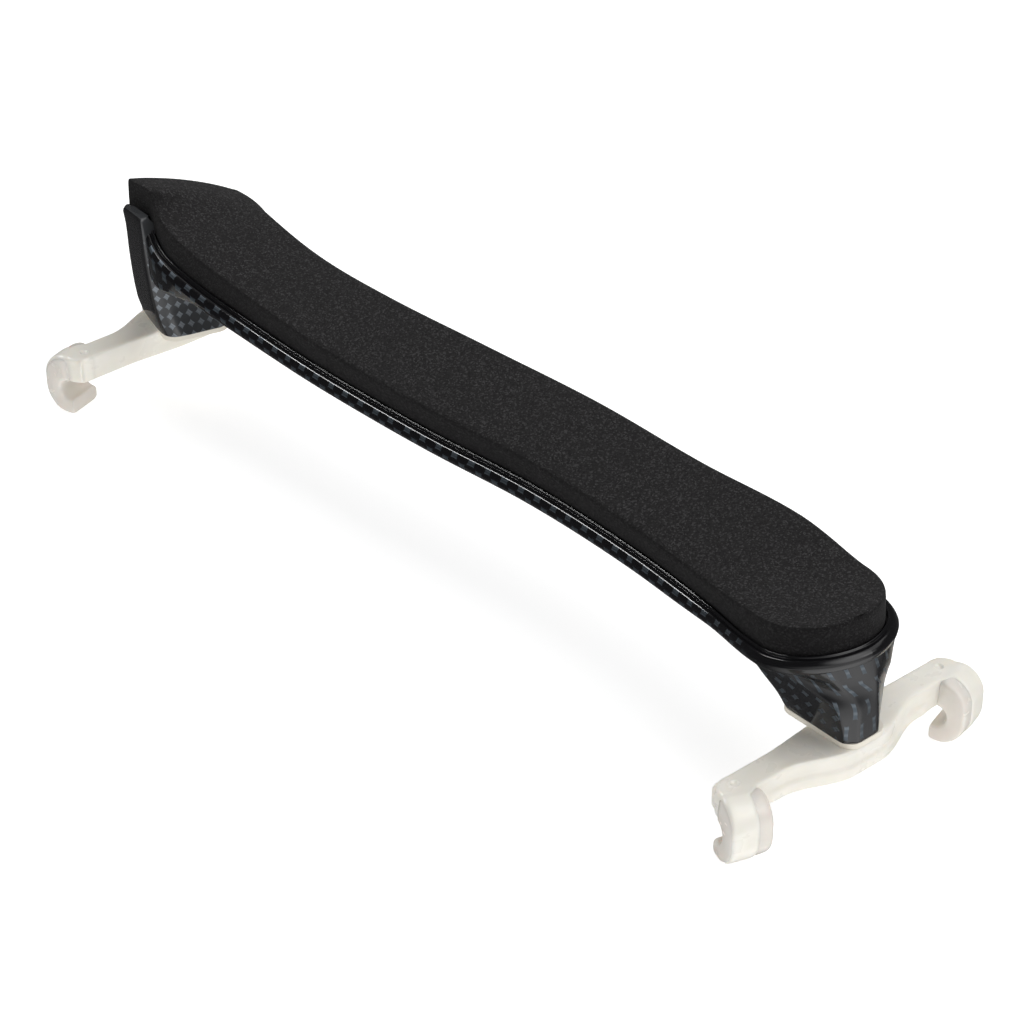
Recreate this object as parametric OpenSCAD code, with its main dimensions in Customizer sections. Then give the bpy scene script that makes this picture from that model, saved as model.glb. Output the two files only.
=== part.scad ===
// Violin shoulder rest: a padded board with two moulded legs, each carrying a swivelling, width-adjustable yoke.
// Origin: on the ground plane under the middle of the span. +X runs along the board, +Z is up.

/* [Board] */
// Half of the length of the board, measured to the cut left end
left_reach = 104.5; // [103:0.5:106]
// Distance from the origin to the centre of the round right end
right_centre = 94; // [93:0.5:95]
// Thickness of the moulded board
board_t = 5.2; // [4.5:0.1:5.6]
// Width of the rim that shows around the pad
rim_w = 3; // [2.6:0.1:3.4]
// Depth of the tray that the pad sits in
tray_depth = 1.05; // [0.8:0.05:1.2]

/* [Pad] */
// Height of the foam wall above the rim
pad_h = 5.8; // [5:0.1:6.5]
// Space between the tray and the pad, which the adhesive film fills
film_t = 0.5; // [0.45:0.05:0.6]

/* [Legs] */
// Height of the underside of each leg above the ground
leg_z = 15.45; // [15.2:0.05:15.6]
// Thickness of the base plate that closes each leg
plate_t = 1.1; // [0.8:0.1:1.2]

/* [Yokes] */
// Distance from the origin to each swivel axis
pivot_x = 103; // [102.5:0.1:103.2]
// Distance from the origin to the straight inner edge of each yoke
yoke_in = 99.2; // [99:0.1:99.4]
// Width of a yoke arm
arm_w = 6.3; // [6:0.1:6.6]
// Depth of a yoke arm
arm_t = 6.1; // [5.8:0.1:6.2]
// How far the outer edge of a yoke bulges at the middle
bulge = 4.4; // [4:0.1:4.6]
// Distance from the middle of a yoke to the middle of a hook
hook_y = 26.3; // [26:0.1:27]
// Angle by which a hook turns away from the middle of its yoke
hook_splay = 17.6; // [15:0.1:19]
// Width of the stiff core of a hook
core_w = 5.4; // [5:0.1:5.8]
// Width of the soft grip on a hook
grip_w = 8.8; // [8.4:0.1:9.2]

/* [Clamp] */
// How far each yoke can be moved inwards
travel = 5; // [4:0.5:5]
// Diameter of the clamp screw
screw_d = 3; // [2.9:0.1:3]
// Length of the slide nut
nut_l = 8; // [7:0.5:8]
// Width of the slide nut
nut_w = 5.6; // [5.4:0.1:5.6]
// Outer diameter of the bush
bush_d = 5; // [4.8:0.1:5]

/* [Hidden] */

// Spine of the pad's top face: x, y, z, half width, bank angle (positive lifts the near edge)
SPINE = [
    [-left_reach, 2.9, 45, 11.9, 17],
    [-97, 3.2, 44.6, 12.2, 16.5],
    [-88, 1, 42.3, 11.8, 2],
    [-65, 0.4, 39.2, 10, -10],
    [-40, 0, 38.7, 9.9, -16],
    [-10, 2, 38.2, 10.3, -17.5],
    [20, 4.5, 38, 10.2, -17.5],
    [50, 4.1, 38.1, 10.3, -18.5],
    [75, 2.9, 38.7, 11.8, -17],
    [right_centre, 0.4, 39.3, 12.6, -4.5],
    [112, -1.2, 42.3, 12.6, -2]
];
// Points on the cut left end between its two corners: lateral fraction and how far it bows outwards
END_CUT = [[-0.6, 1.4], [0, 2.2], [0.5, 1.4], [0.85, -0.8]];
end_skew = 3.7;      // the near corner of the cut end lies this far beyond the middle
far_corner_in = 3.2; // the far corner is rounded back by this much
skew_fade = 24;      // length over which the skew dies out
corner_l = 6;        // length over which the corners of the cut end are rounded
end_rim = 0.15;      // share of an outline's offset that reaches past the cut end
rim_corner = 0.35;   // share of the offset by which the near corner of the rim is rounded back
straight_steps = 30; // stations along the straight part
arc_steps = 9;       // stations round the right end
arc_stop = 84;       // last station of the round end, degrees from square

// Outward offset and height above the pad's top face of each level of a swept solid
tray_h = -pad_h - tray_depth;
PAD_LEVELS = [[0, tray_h + film_t], [-0.1, -0.6], [-0.6, 0]];
film_gap = 0.17;             // air above and below the film, which bows less than its neighbours' facets
FILM_LEVELS = [[-0.8, tray_h + film_gap], [-0.8, tray_h + film_t - film_gap]];
rim_low = -pad_h - board_t;
BOARD_LEVELS = [
    [-3, rim_low], [rim_w - 2, rim_low + 0.1], [rim_w - 0.6, rim_low + 0.9], [rim_w, rim_low + 2.6],
    [rim_w - 0.5, rim_low + 4.2], [rim_w - 1.9, -pad_h], [0.35, -pad_h - 0.15], [0.35, tray_h]
];

// Rises smoothly from 0 to 1 while the size of y goes from a to b
function smooth(y, a, b) = let (t = min(1, max(0, (abs(y) - a) / (b - a)))) t * t * (3 - 2 * t);
// 1 at the cut left end, dying out over the given length
function near_end(s, length) = pow(max(0, 1 - (s + left_reach) / length), 2);
// Index of the spine row that starts the stretch holding s
function row_at(s, i = 0) = (i >= len(SPINE) - 2 || s < SPINE[i + 1][0]) ? i : row_at(s, i + 1);
// Slope of column k at row i
function slope(i, k) =
    let (a = max(i - 1, 0), b = min(i + 1, len(SPINE) - 1))
    (SPINE[b][k] - SPINE[a][k]) / (SPINE[b][0] - SPINE[a][0]);
// Smooth value of column k at position s
function spine(s, k) =
    let (i = row_at(s), d = SPINE[i + 1][0] - SPINE[i][0], t = (s - SPINE[i][0]) / d)
    SPINE[i][k] * (2 * t^3 - 3 * t^2 + 1) + slope(i, k) * d * (t^3 - 2 * t^2 + t)
    + SPINE[i + 1][k] * (3 * t^2 - 2 * t^3) + slope(i + 1, k) * d * (t^3 - t^2);
function skew(s) = end_skew * near_end(s, skew_fade);
// Point at station s, lateral distance q from the spine, lateral fraction v, height h over the pad's top
function board_pt(s, q, v, h, dx = 0) =
    let (
        b = spine(s, 4),
        turn = (spine(s + 1, 1) - spine(s - 1, 1)) / 2,
        k = 1 / sqrt(1 + turn * turn),
        side = [-turn * k * cos(b), k * cos(b), -sin(b)],
        lean = min(b, 0),
        up = [-turn * k * sin(lean), k * sin(lean), cos(lean)]
    )
    [s, spine(s, 1), spine(s, 2)] + side * q + up * h + [skew(s) * v + dx, 0, 0];
end_r = spine(right_centre, 3);
// Stations as [position, half width] for an outline offset outwards by g
function stations(g) = concat(
    [for (i = [0:straight_steps - 1])
        let (start = -left_reach - end_rim * max(g, 0), s = start + (right_centre - start) * i / straight_steps)
        [s, spine(max(s, -left_reach), 3) + g]],
    [for (i = [0:arc_steps])
        let (a = arc_stop * i / arc_steps)
        [right_centre + (end_r + g) * sin(a), (end_r + g) * cos(a)]]
);
// The rim is slimmer round the right end
rim_slimming = 0.22;
function slim(s) = s < 0 ? 1 : 1 - rim_slimming * smooth(s, 60, 88);
// Whether a level belongs to the rim rather than to the tray or the pad
function on_rim(g, h) = g > 0.5 || h < tray_h;
function level_h(g, h, s) = on_rim(g, h) ? -pad_h + (h + pad_h) * slim(s) : h;
function level_q(g, s, q) = g > 0.5 ? q - g + g * slim(s) : q;
// One closed outline: near edge from left to right, far edge back again, then the cut end
function outline(g, h) =
    let (st = stations(g), n = len(st))
    concat(
        [for (p = st)
            let (s = p[0])
            board_pt(s, -level_q(g, s, p[1]), -1, level_h(g, h, s), rim_corner * max(g, 0) * near_end(s, corner_l))],
        [for (i = [n - 1:-1:0])
            let (s = st[i][0])
            board_pt(s, level_q(g, s, st[i][1]), 1, level_h(g, h, s), far_corner_in * near_end(s, corner_l))],
        [for (i = [len(END_CUT) - 1:-1:0])
            let (c = END_CUT[i], s = st[0][0])
            board_pt(s, c[0] * st[0][1], c[0], h, -c[1])]
    );
// Triangles across an outline of m points whose two edges have n stations each
function cap(base, n, m) = concat(
    [for (i = [0:n - 2]) each [
        [base + i, base + i + 1, base + 2 * n - 1 - i],
        [base + i + 1, base + 2 * n - 2 - i, base + 2 * n - 1 - i]]],
    [for (i = [2 * n - 1:m - 2]) [base, base + i, base + i + 1]]
);
function flip(faces) = [for (f = faces) [f[2], f[1], f[0]]];
module swept(levels) {
    n = straight_steps + arc_steps + 1;
    m = 2 * n + len(END_CUT);
    top = (len(levels) - 1) * m;
    points = [for (l = levels) each outline(l[0], l[1])];
    walls = [for (k = [0:len(levels) - 2]) for (i = [0:m - 1])
        let (j = (i + 1) % m, a = k * m, b = a + m)
        each [[a + i, a + j, b + j], [a + i, b + j, b + i]]];
    polyhedron(points, flip(concat(flip(cap(0, n, m)), walls, cap(top, n, m))));
}

// Legs: a rolled shoulder under the rim, a waist, and a foot
shoulder_r = 1.7;       // radius of the shoulder where it leaves the rim
shoulder_h = -9.6;      // its height below the pad's top face
shoulder_in = 2;        // how far its centre line lies inside the edge of the rim
// Shoulder of the left leg: distance from the cut end and lateral fraction
LEFT_SHOULDER = [[1.8, -1], [2.8, -1], [8.5, -1], [14.5, -1], [1.8, 0], [1.8, 0.8], [8.5, 0.8]];
right_shoulder = [86, right_centre]; // stations of the straight part of the right shoulder
left_waist_z = 26.5;    // height of the waist of each leg
right_waist_z = 24.5;
waist_t = 0.6;          // thickness of the slice that the two halves of a leg share
RIGHT_FOOT = [100.3, 0.1, 18, 9.8, 0];    // centre x, centre y, length, width, turn
LEFT_FOOT = [-99.8, -1.2, 18.5, 14.5, -16.5];
foot_r = 3;             // corner radius of a foot
pocket_clear = 0.2;     // room around the slide nut
pocket_top = 21.4;      // height of the roof of the pocket, above the tip of the screw
slot_clear = 0.4;       // room around the screw in the slot of the base plate
plate_proud = 0.35;     // how far the base plate stands out round the foot
module foot_outline(f, grow = 0) {
    translate([f[0], f[1]]) rotate(f[4]) for (a = [0, 1]) {
        square([f[2] + 2 * grow, f[3] + 2 * grow - 2 * foot_r], center = true);
        square([f[2] + 2 * grow - 2 * foot_r, f[3] + 2 * grow], center = true);
        for (x = [-1, 1], y = [-1, 1])
            translate([x * (f[2] / 2 + grow - foot_r), y * (f[3] / 2 + grow - foot_r)]) circle(foot_r, $fn = 32);
    }
}
// The volume that a sliding part of the given length and width sweeps
module sweep_slot(side, length, width, z0, z1) {
    translate([side > 0 ? pivot_x - travel - length / 2 : -pivot_x - length / 2, -width / 2, z0])
        cube([travel + length, width, z1 - z0]);
}
module right_waist() {
    translate([0, 0, right_waist_z]) linear_extrude(waist_t)
        polygon([[84, -8], [104.5, -6.2], [109.2, -3.4], [109.6, 1.5], [107, 6], [101, 8.5], [88, 8]]);
}
module right_leg() {
    hull() {
        for (s = right_shoulder, v = [-1, 1])
            translate(board_pt(s, v * (spine(s, 3) + rim_w - shoulder_in - 0.6), v, shoulder_h))
                sphere(shoulder_r, $fn = 16);
        for (a = [15:15:75], v = [-1, 1])
            let (r = end_r + rim_w - shoulder_in)
            translate(board_pt(right_centre + r * sin(a), v * r * cos(a), v, shoulder_h))
                sphere(shoulder_r, $fn = 16);
        right_waist();
    }
    hull() {
        right_waist();
        translate([0, 0, leg_z]) linear_extrude(waist_t) foot_outline(RIGHT_FOOT);
    }
}
module left_waist() {
    translate([0, 0, left_waist_z]) linear_extrude(waist_t)
        polygon([[-110.4, -6.6], [-97.8, -10.3], [-93.6, 3.8], [-96, 7.5], [-106.5, 8.5]]);
}
module left_leg() {
    hull() {
        for (p = LEFT_SHOULDER)
            let (s = p[0] - left_reach, v = p[1], bow = v == 0 ? -1.5 : 0)
            translate(board_pt(s, v * (spine(s, 3) + rim_w - shoulder_in), v, shoulder_h, bow))
                sphere(shoulder_r, $fn = 16);
        left_waist();
    }
    hull() {
        left_waist();
        translate([0, 0, leg_z]) linear_extrude(waist_t) foot_outline(LEFT_FOOT);
    }
}
module board() color([0.1, 0.11, 0.13]) difference() {
    union() {
        swept(BOARD_LEVELS);
        right_leg();
        left_leg();
    }
    for (side = [-1, 1])
        sweep_slot(side, nut_l + 2 * pocket_clear, nut_w + 2 * pocket_clear, leg_z - 1, pocket_top);
}
module pad() color([0.13, 0.13, 0.13]) swept(PAD_LEVELS);
module pad_adhesive() color([0.75, 0.73, 0.66]) swept(FILM_LEVELS);
module base_plate(side, f) color([0.86, 0.83, 0.76]) difference() {
    translate([0, 0, leg_z - plate_t]) linear_extrude(plate_t) foot_outline(f, plate_proud);
    sweep_slot(side, screw_d + slot_clear, screw_d + slot_clear, leg_z - plate_t - 1, leg_z + 1);
}

// Clamp stack, from the head upwards
plate_z = leg_z - plate_t;   // underside of the base plate
gap = 0.05;                  // running gap between a sliding face and its neighbour
yoke_top = plate_z - gap;
yoke_z = yoke_top - arm_t;
head_z = yoke_z + 0.3;
head_h = 2.1;
head_d = 5.8;
head_edge = 0.5;             // height of the bevel round the screw head
cross_l = 3.2;               // length and width of the cross recess
cross_w = 0.75;
washer_t = 0.5;
washer_d = 7;
hole_d = screw_d + 0.2;
washer_z = head_z + head_h;
bush_z = washer_z + washer_t;
ring_t = 0.8;
ring_edge = 0.35;            // thickness of the friction ring at its edge
ring_in = bush_d / 2 + 0.15; // inner radius of the friction ring
web_z = bush_z + ring_t + 2 * gap;
counterbore_d = washer_d + 0.6;
screw_l = 10;
tip_l = 0.5;
shank_d = screw_d - 0.04;
nut_t = 3;
nut_bevel = 0.8;             // side of the square bar that bevels the ends of the nut
nut_z = leg_z + gap;
module at_pivot(side, z) translate([side * pivot_x, 0, z]) children();
module slide_nut(side) color([0.78, 0.63, 0.32]) difference() {
    at_pivot(side, nut_z + nut_t / 2) cube([nut_l, nut_w, nut_t], center = true);
    at_pivot(side, nut_z - 1) cylinder(h = nut_t + 2, d = screw_d, $fn = 48);
    for (x = [-1, 1])
        at_pivot(side, nut_z) translate([x * nut_l / 2, 0, nut_t]) rotate([0, 45, 0])
            cube([nut_bevel, nut_w + 2, nut_bevel], center = true);
}
module clamp_screw(side) color([0.7, 0.71, 0.73]) difference() {
    union() {
        at_pivot(side, head_z) cylinder(h = head_edge, d1 = head_d - 2 * head_edge, d2 = head_d, $fn = 48);
        at_pivot(side, head_z + head_edge) cylinder(h = head_h - head_edge, d = head_d, $fn = 48);
        at_pivot(side, washer_z) cylinder(h = screw_l - tip_l, d = shank_d, $fn = 48);
        at_pivot(side, washer_z + screw_l - tip_l) cylinder(h = tip_l, d1 = shank_d, d2 = shank_d - tip_l, $fn = 48);
    }
    for (a = [0, 90])
        at_pivot(side, head_z) rotate(a) cube([cross_l, cross_w, head_h], center = true);
}
module washer(side) color([0.7, 0.71, 0.73]) difference() {
    at_pivot(side, washer_z) cylinder(h = washer_t, d = washer_d, $fn = 64);
    at_pivot(side, washer_z - 1) cylinder(h = washer_t + 2, d = hole_d, $fn = 48);
}
module bush(side) color([0.78, 0.63, 0.32]) difference() {
    at_pivot(side, bush_z) cylinder(h = plate_z - bush_z - gap / 2, d = bush_d, $fn = 64);
    at_pivot(side, bush_z - 1) cylinder(h = plate_z - bush_z + 2, d = hole_d, $fn = 48);
}
module friction_ring(side) color([0.55, 0.56, 0.58])
    at_pivot(side, bush_z) rotate_extrude($fn = 64)
        polygon([[ring_in + ring_edge, 0], [washer_d / 2, 0], [washer_d / 2, ring_edge],
            [ring_in + ring_edge, ring_t], [ring_in, ring_t], [ring_in, ring_t - ring_edge]]);

// Yokes: drawn for the right-hand side, then mirrored
arm_out = yoke_in + arm_w;
edge_steps = 44;     // points along each long edge of a yoke
edge_y = [for (i = [0:edge_steps]) hook_y * (2 * i / edge_steps - 1)];
inner_bulge = 1.1;   // how far the inner edge bulges at the middle
outer_edge = [for (y = edge_y) [arm_out + bulge * (1 - smooth(y, 3.5, 18)), y]];
inner_edge = [for (y = edge_y) [yoke_in - inner_bulge * (1 - smooth(y, 2, 18)), -y]];
shoulder_w = 7.8;    // width of an arm where it turns into its hook
recess_l = 10;       // length, width and depth of the recess under each arm
recess_w = 2.6;
recess_depth = 3;
recess_y = 15.5;
dimple_d = 1.6;      // small dimple on top of each arm end
dimple_depth = 0.3;
bore_clear = 0.1;    // room around the bush

// Hook seen from its side: x runs outwards from the inner edge of the arm, y up from the ground
hook_reach = 11;     // how far a hook reaches outwards
back_r = 5.6;        // radius of the upper outer curve and the height of its centre
back_z = 8.7;
belly_r = 5.9;       // radius of the lower outer curve, which stands on the ground
core_inset = 0.9;    // how much smaller the stiff core is than the whole hook
core_start = 0.6;    // where the core starts inside the arm
lip_tip = 3.6;       // where the lip starts, and its thickness and corner radius
lip_t = 3.7;
lip_r = 0.9;
throat_r = 6.7;      // how deep the throat is
throat_h = yoke_z - lip_t;
module hook_solid(inset) {
    translate([hook_reach - back_r, back_z]) circle(back_r - inset, $fn = 64);
    translate([hook_reach - belly_r, belly_r]) circle(belly_r - inset, $fn = 64);
    translate([hook_reach - belly_r, belly_r]) square([belly_r - inset, back_z - belly_r]);
    translate([core_start, yoke_z]) square([hook_reach - back_r, arm_t - inset]);
    for (z = [inset + lip_r, lip_t - inset - lip_r])
        translate([lip_tip + inset + lip_r, z]) circle(lip_r, $fn = 32);
    translate([lip_tip + inset, inset + lip_r]) square([belly_r, lip_t - 2 * (inset + lip_r)]);
    translate([lip_tip + inset + lip_r, inset]) square([hook_reach - belly_r - lip_tip, lip_t - 2 * inset]);
}
module hook_profile(inset = 0) {
    difference() {
        hook_solid(inset);
        translate([-1, lip_t - inset]) square([throat_r - throat_h / 2 + 1, throat_h + inset]);
        translate([throat_r - throat_h / 2, lip_t + throat_h / 2]) circle(throat_h / 2 + inset, $fn = 48);
    }
}
module hook_place(side) {
    translate([yoke_in, side * hook_y, 0]) rotate(side * hook_splay) rotate([90, 0, 0]) children();
}
module hook_core(side) {
    hook_place(side) linear_extrude(core_w, center = true) hook_profile(core_inset);
}
module grip_right(side) {
    difference() {
        hook_place(side) linear_extrude(grip_w, center = true) difference() {
            hook_profile();
            translate([-1, yoke_z - 0.01]) square([arm_w + 1.2, arm_t + 1]);
        }
        hook_core(side);
        yoke_arms();
    }
}
module yoke_arms() {
    translate([0, 0, yoke_z]) linear_extrude(arm_t) {
        polygon(concat(outer_edge, inner_edge));
        for (side = [-1, 1])
            translate([yoke_in, side * hook_y]) rotate(side * hook_splay) {
                translate([shoulder_w / 2, 0]) circle(shoulder_w / 2, $fn = 48);
                translate([shoulder_w / 2, -shoulder_w / 2]) square([arm_w - shoulder_w / 2, shoulder_w]);
            }
    }
}
module yoke_right() {
    difference() {
        union() {
            yoke_arms();
            for (side = [-1, 1]) hook_core(side);
        }
        at_pivot(1, yoke_z - 1) cylinder(h = web_z - yoke_z + 1, d = counterbore_d, $fn = 64);
        at_pivot(1, yoke_z - 1) cylinder(h = arm_t + 2, d = bush_d + bore_clear, $fn = 64);
        for (side = [-1, 1]) {
            translate([yoke_in + arm_w / 2, side * recess_y, yoke_z])
                cube([recess_w, recess_l, 2 * recess_depth], center = true);
            translate([yoke_in + arm_w / 2, side * hook_y, yoke_top - dimple_depth])
                cylinder(h = 2 * dimple_depth, d = dimple_d, $fn = 24);
        }
    }
}
yoke_tint = [0.88, 0.86, 0.8];
grip_tint = [0.93, 0.92, 0.88];

module left_base_plate() base_plate(-1, LEFT_FOOT);
module right_base_plate() base_plate(1, RIGHT_FOOT);
module left_slide_nut() slide_nut(-1);
module right_slide_nut() slide_nut(1);
module left_clamp_screw() clamp_screw(-1);
module right_clamp_screw() clamp_screw(1);
module left_washer() washer(-1);
module right_washer() washer(1);
module left_bush() bush(-1);
module right_bush() bush(1);
module left_friction_ring() friction_ring(-1);
module right_friction_ring() friction_ring(1);
module left_yoke() color(yoke_tint) mirror([1, 0, 0]) yoke_right();
module right_yoke() color(yoke_tint) yoke_right();
module left_near_grip() color(grip_tint) mirror([1, 0, 0]) grip_right(-1);
module left_far_grip() color(grip_tint) mirror([1, 0, 0]) grip_right(1);
module right_near_grip() color(grip_tint) grip_right(-1);
module right_far_grip() color(grip_tint) grip_right(1);

board();
pad();
pad_adhesive();
left_base_plate();
right_base_plate();
left_slide_nut();
left_clamp_screw();
left_washer();
left_bush();
left_friction_ring();
right_slide_nut();
right_clamp_screw();
right_washer();
right_bush();
right_friction_ring();
left_yoke();
left_near_grip();
left_far_grip();
right_yoke();
right_near_grip();
right_far_grip();
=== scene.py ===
"""Looks of the violin shoulder rest: foam pad, printed board and legs, milky yokes, metal clamp parts."""
import math

import bmesh
import bpy
import numpy as np
from mathutils import Matrix, Vector


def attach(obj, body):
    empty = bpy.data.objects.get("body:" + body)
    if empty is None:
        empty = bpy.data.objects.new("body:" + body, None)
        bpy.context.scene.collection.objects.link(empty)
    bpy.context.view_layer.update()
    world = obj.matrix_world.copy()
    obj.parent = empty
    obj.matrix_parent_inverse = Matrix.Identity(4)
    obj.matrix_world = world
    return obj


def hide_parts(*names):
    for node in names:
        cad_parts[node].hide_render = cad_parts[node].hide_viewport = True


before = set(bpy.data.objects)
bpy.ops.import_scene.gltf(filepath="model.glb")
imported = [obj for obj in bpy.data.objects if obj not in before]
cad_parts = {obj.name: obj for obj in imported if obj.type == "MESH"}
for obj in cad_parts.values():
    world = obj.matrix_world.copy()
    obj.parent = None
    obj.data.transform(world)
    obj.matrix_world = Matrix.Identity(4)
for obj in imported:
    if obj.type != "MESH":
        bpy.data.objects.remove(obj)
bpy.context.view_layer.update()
MM = 0.001

# ---------------------------------------------------------------- driving values, in millimetres
# Board and pad: reach of the cut left end, centre of the round right end, heights and rim
LEFT_REACH = 104.5
RIGHT_CENTRE = 94.0
BOARD_T = 5.2
RIM_W = 3.0
TRAY_DEPTH = 1.05
PAD_H = 5.8
FILM_T = 0.5
# Legs: underside, swivel axis and the pocket that the slide nut runs in
LEG_Z = 15.45
PIVOT_X = 103.0
TRAVEL = 5.0
NUT_L = 8.0
NUT_W = 5.6
POCKET_TOP = 21.4
POCKET_CLEAR = 0.2
# Yokes: inner edge, arms, bulges at the middle, place and turn of the hooks (in degrees)
YOKE_IN = 99.2
ARM_W = 6.3
ARM_T = 6.1
YOKE_TOP = 14.3
YOKE_Z = YOKE_TOP - ARM_T
BULGE = 4.4
INNER_BULGE = 1.1
HOOK_Y = 26.3
HOOK_SPLAY = 17.6
# How far a cutter reaches past what it cuts
THROUGH = 1.0

# Spine of the pad's top face: x, y, z, half width, bank angle (positive lifts the near edge)
SPINE = (
    (-LEFT_REACH, 2.9, 45.0, 11.9, 17.0),
    (-97.0, 3.2, 44.6, 12.2, 16.5),
    (-88.0, 1.0, 42.3, 11.8, 2.0),
    (-65.0, 0.4, 39.2, 10.0, -10.0),
    (-40.0, 0.0, 38.7, 9.9, -16.0),
    (-10.0, 2.0, 38.2, 10.3, -17.5),
    (20.0, 4.5, 38.0, 10.2, -17.5),
    (50.0, 4.1, 38.1, 10.3, -18.5),
    (75.0, 2.9, 38.7, 11.8, -17.0),
    (RIGHT_CENTRE, 0.4, 39.3, 12.6, -4.5),
    (112.0, -1.2, 42.3, 12.6, -2.0),
)
# Cut left end: lateral fraction and how far it bows outwards
END_CUT = ((-1.0, 0.0), (-0.6, 1.4), (0.0, 2.2), (0.5, 1.4), (0.85, -0.8), (1.0, -3.2))
# Skew of the cut end, the length it fades out over, and the length of its rounded corners
END_SKEW = 3.7
SKEW_FADE = 24.0
CORNER_L = 6.0
# Shares of the rim's width: what stands past the cut end, and the rounding of its near corner there
END_RIM = 0.15
RIM_CORNER = 0.35
# Share that the rim loses towards the right end, the station where that starts and its length
RIM_SLIMMING = 0.22
SLIM_FROM = 60.0
SLIM_OVER = 28.0
# Heights over the pad's top face: floor of the tray, lowest line of the rim
TRAY_H = -PAD_H - TRAY_DEPTH
RIM_LOW = -PAD_H - BOARD_T


# ---------------------------------------------------------------- the board's swept frame
def smooth_value(xs, ys, x):
    """Value at x of a smooth curve through the points (xs, ys)."""
    last = len(xs) - 1
    i = 0
    while i < last - 1 and x >= xs[i + 1]:
        i += 1

    def slope(j):
        a, b = max(j - 1, 0), min(j + 1, last)
        return (ys[b] - ys[a]) / (xs[b] - xs[a])

    d = xs[i + 1] - xs[i]
    t = (x - xs[i]) / d
    return (
        ys[i] * (2 * t**3 - 3 * t**2 + 1)
        + slope(i) * d * (t**3 - 2 * t**2 + t)
        + ys[i + 1] * (3 * t**2 - 2 * t**3)
        + slope(i + 1) * d * (t**3 - t**2)
    )


SPINE_COLUMNS = list(zip(*SPINE))
ACROSS, HEIGHT, HALF_WIDTH, BANK = 1, 2, 3, 4
CUT_V, CUT_BOW = zip(*END_CUT)


def spine(s, column):
    """Smooth value of one of SPINE's columns at station s."""
    return smooth_value(SPINE_COLUMNS[0], SPINE_COLUMNS[column], s)


def bow(v):
    """How far the cut end bows outwards at lateral fraction v."""
    return smooth_value(CUT_V, CUT_BOW, v)


END_R = spine(RIGHT_CENTRE, HALF_WIDTH)


def ease(t):
    """Smooth step from 0 to 1."""
    t = min(1.0, max(0.0, t))
    return t * t * (3 - 2 * t)


def near_end(s, length):
    """1 at the cut end, falling to 0 over the given length."""
    return max(0.0, 1 - (s + LEFT_REACH) / length) ** 2


def board_pt(s, q, v, h, dx=0.0):
    """Point at station s, lateral distance q, lateral fraction v and height h over the pad's top face."""
    bank = math.radians(spine(s, BANK))
    turn = (spine(s + 1, ACROSS) - spine(s - 1, ACROSS)) / 2
    k = 1 / math.hypot(1, turn)
    side = np.array([-turn * k * math.cos(bank), k * math.cos(bank), -math.sin(bank)])
    lean = min(bank, 0.0)
    up = np.array([-turn * k * math.sin(lean), k * math.sin(lean), math.cos(lean)])
    skew = END_SKEW * near_end(s, SKEW_FADE) * v
    base = np.array([s + skew + dx, spine(s, ACROSS), spine(s, HEIGHT)])
    return base + side * q + up * h


def slim(s):
    """The rim's size at station s, as a share of its full size."""
    return 1 - RIM_SLIMMING * ease((s - SLIM_FROM) / SLIM_OVER)


# Steps along the board, round its right end (over ARC_STOP degrees) and across it
STRAIGHT = 150
ARC = 26
ARC_STOP = 88.0
LATERAL = 18


def stations(g):
    """Stations as [position, half width] for an outline offset outwards by g."""
    start = -LEFT_REACH - END_RIM * max(g, 0)
    rows = []
    for i in range(STRAIGHT):
        s = start + (RIGHT_CENTRE - start) * i / STRAIGHT
        rows.append((s, spine(max(s, -LEFT_REACH), HALF_WIDTH) + g))
    for i in range(ARC + 1):
        a = math.radians(ARC_STOP * i / ARC)
        rows.append((RIGHT_CENTRE + (END_R + g) * math.sin(a), (END_R + g) * math.cos(a)))
    return rows


# ---------------------------------------------------------------- mesh helpers
def new_object(name, points, faces, corner_uv=None):
    """A mesh object from points in millimetres. corner_uv holds one (u, v) per corner of each face."""
    mesh = bpy.data.meshes.new(name)
    mesh.from_pydata([tuple(float(c) * MM for c in p) for p in points], [], faces)
    if corner_uv is not None:
        layer = mesh.uv_layers.new(name="print")
        flat = [c for face in corner_uv for uv in face for c in uv]
        layer.data.foreach_set("uv", flat)
    obj = bpy.data.objects.new(name, mesh)
    bpy.context.scene.collection.objects.link(obj)
    return obj


def face_outwards(obj):
    bm = bmesh.new()
    bm.from_mesh(obj.data)
    bmesh.ops.recalc_face_normals(bm, faces=bm.faces)
    bm.to_mesh(obj.data)
    bm.free()


# Edges sharper than these angles, in degrees, stay crisp: on the board and its legs, yokes and soft pieces
HARD_EDGE = 50
MOULDED_EDGE = 60
SOFT_EDGE = 70


def shade(obj, angle):
    obj.data.polygons.foreach_set("use_smooth", [True] * len(obj.data.polygons))
    obj.data.set_sharp_from_angle(angle=math.radians(angle))


def bake_modifiers(obj):
    """Applies the object's modifiers to its mesh."""
    graph = bpy.context.evaluated_depsgraph_get()
    mesh = bpy.data.meshes.new_from_object(obj.evaluated_get(graph))
    obj.modifiers.clear()
    old = obj.data
    obj.data = mesh
    bpy.data.meshes.remove(old)


def cut(obj, cutters):
    for c in cutters:
        m = obj.modifiers.new("cut", "BOOLEAN")
        m.operation = "DIFFERENCE"
        m.solver = "EXACT"
        m.object = c
    bake_modifiers(obj)
    for c in cutters:
        bpy.data.objects.remove(c)


def box_cutter(lo, hi):
    x0, y0, z0 = lo
    x1, y1, z1 = hi
    points = [(x, y, z) for z in (z0, z1) for y in (y0, y1) for x in (x0, x1)]
    faces = [(0, 2, 3, 1), (4, 5, 7, 6), (0, 1, 5, 4), (2, 6, 7, 3), (0, 4, 6, 2), (1, 3, 7, 5)]
    return new_object("cutter", points, faces)


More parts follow.
